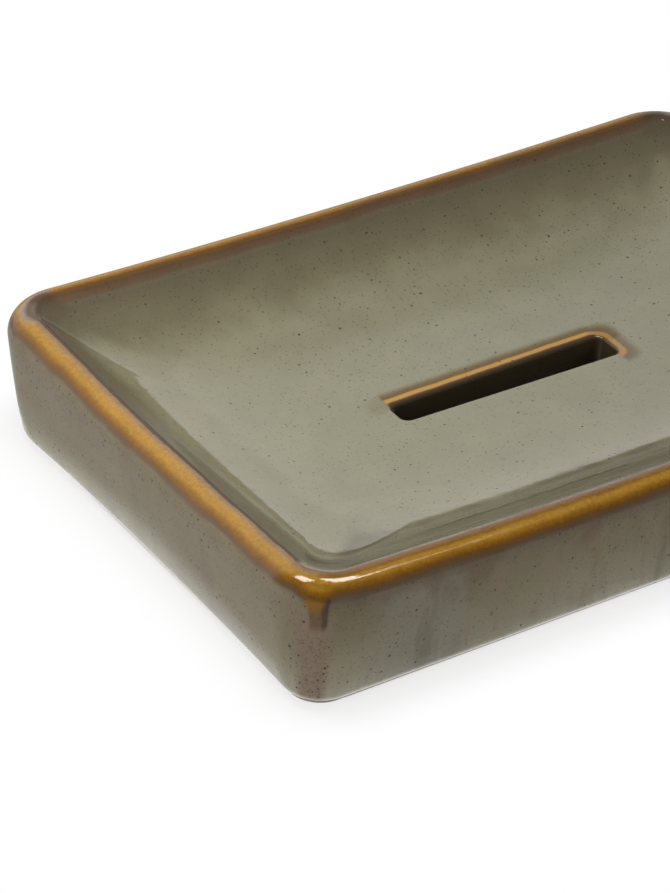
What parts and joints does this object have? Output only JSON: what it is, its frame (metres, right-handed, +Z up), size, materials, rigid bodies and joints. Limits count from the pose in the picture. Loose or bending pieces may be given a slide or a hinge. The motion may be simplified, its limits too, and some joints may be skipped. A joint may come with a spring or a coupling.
{
  "type": "soap dish",
  "caption": "Rectangular glazed stoneware soap dish with a rounded rim, a dished basin, a drain slot in its floor and anti-slip pads under its foot.",
  "frame": {"origin": "on the surface that the dish stands on, under the middle of its bounding box", "axes": "+X along the long side and the drain slot, +Y from the front long side to the back one, +Z up"},
  "size_m": [0.13, 0.0904, 0.0214],
  "materials": {
    "glazed_stoneware": "glossy sage-grey reactive glaze with fine iron specks, breaking to amber on the rim and slot edges; bare clay foot",
    "clear_pad": "clear soft silicone, satin"
  },
  "bodies": {
    "root": {"dish_body": "glazed_stoneware", "front_left_pad": "clear_pad", "front_right_pad": "clear_pad", "back_left_pad": "clear_pad", "back_right_pad": "clear_pad"}
  },
  "joints": []
}
